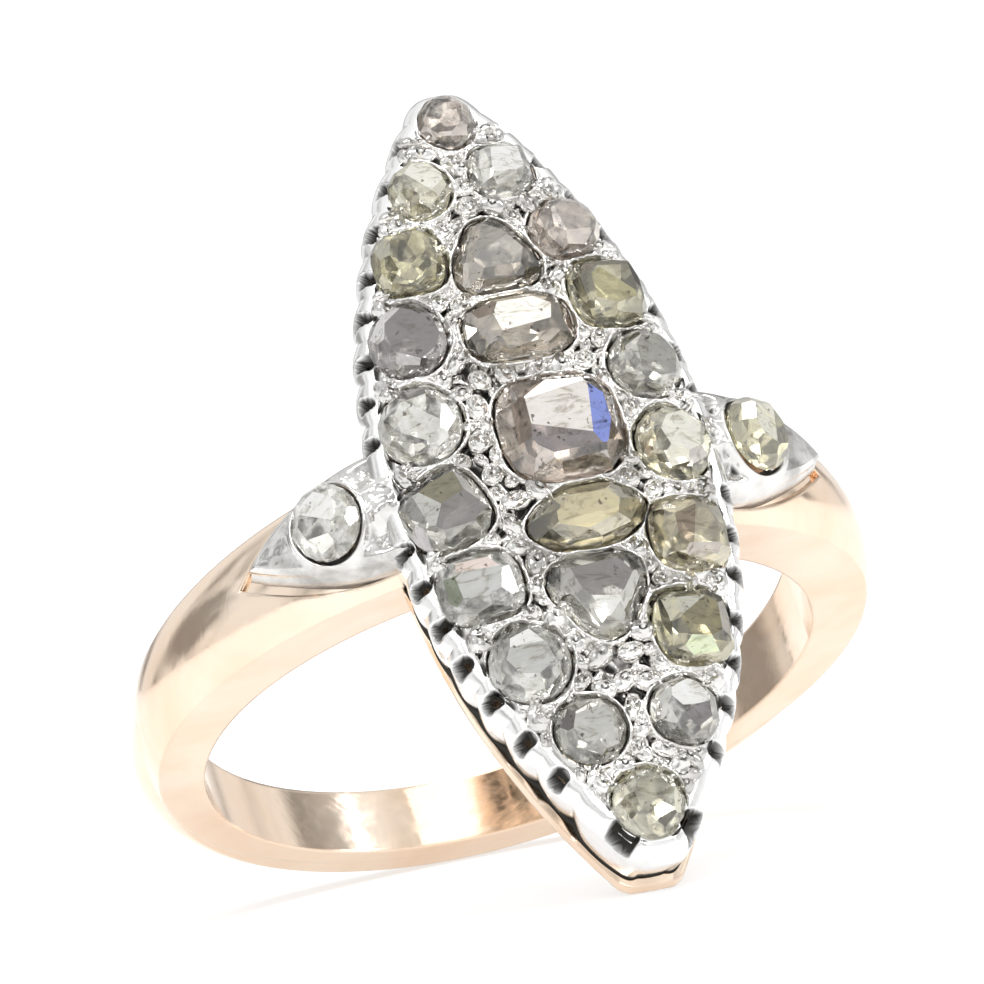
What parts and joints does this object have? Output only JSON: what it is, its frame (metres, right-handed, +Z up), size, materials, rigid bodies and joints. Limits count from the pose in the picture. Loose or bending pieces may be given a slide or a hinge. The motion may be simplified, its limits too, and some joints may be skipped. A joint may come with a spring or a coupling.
{
  "type": "diamond ring",
  "caption": "Old ring: a rose gold band with a long pointed oval head of pierced silver, close set with rose-cut diamonds, and a diamond in a leaf-shaped silver cap on each shoulder.",
  "frame": {"origin": "Middle of the underside of the box of the ring as it lies on a table.", "axes": "+Z is up. The ring lies on its side, on one tip of the head's back plate and the back of the band. The head faces -Y and leans up by 31 degrees. +X points across the finger, to the right in the picture. The finger's axis runs along (0, 0.508, 0.861)."},
  "size_m": [0.0206, 0.0247, 0.0216],
  "materials": {
    "rose_gold": "polished",
    "silver": "worn bright on top, darkened in the recesses",
    "diamond_pale": "faceted, near white",
    "diamond_olive": "faceted, olive to champagne",
    "diamond_brown": "faceted, taupe to brown"
  },
  "bodies": {
    "root": {"shank": "rose_gold", "setting": "silver", "shoulder_cap_left": "silver", "shoulder_cap_right": "silver", "stone_tip_upper": "diamond_brown", "stone_left_1": "diamond_olive", "stone_left_2": "diamond_olive", "stone_left_3": "diamond_brown", "stone_left_4": "diamond_pale", "stone_left_5": "diamond_pale", "stone_left_6": "diamond_pale", "stone_left_7": "diamond_pale", "stone_left_8": "diamond_pale", "stone_tip_lower": "diamond_olive", "stone_right_8": "diamond_pale", "stone_right_7": "diamond_olive", "stone_right_6": "diamond_brown", "stone_right_5": "diamond_pale", "stone_right_4": "diamond_brown", "stone_right_3": "diamond_olive", "stone_right_2": "diamond_brown", "stone_right_1": "diamond_pale", "stone_centre_pear": "diamond_brown", "stone_centre_upper": "diamond_brown", "stone_centre_main": "diamond_brown", "stone_centre_lower": "diamond_olive", "stone_centre_drop": "diamond_pale", "stone_shoulder_left": "diamond_pale", "stone_shoulder_right": "diamond_olive"}
  },
  "joints": []
}
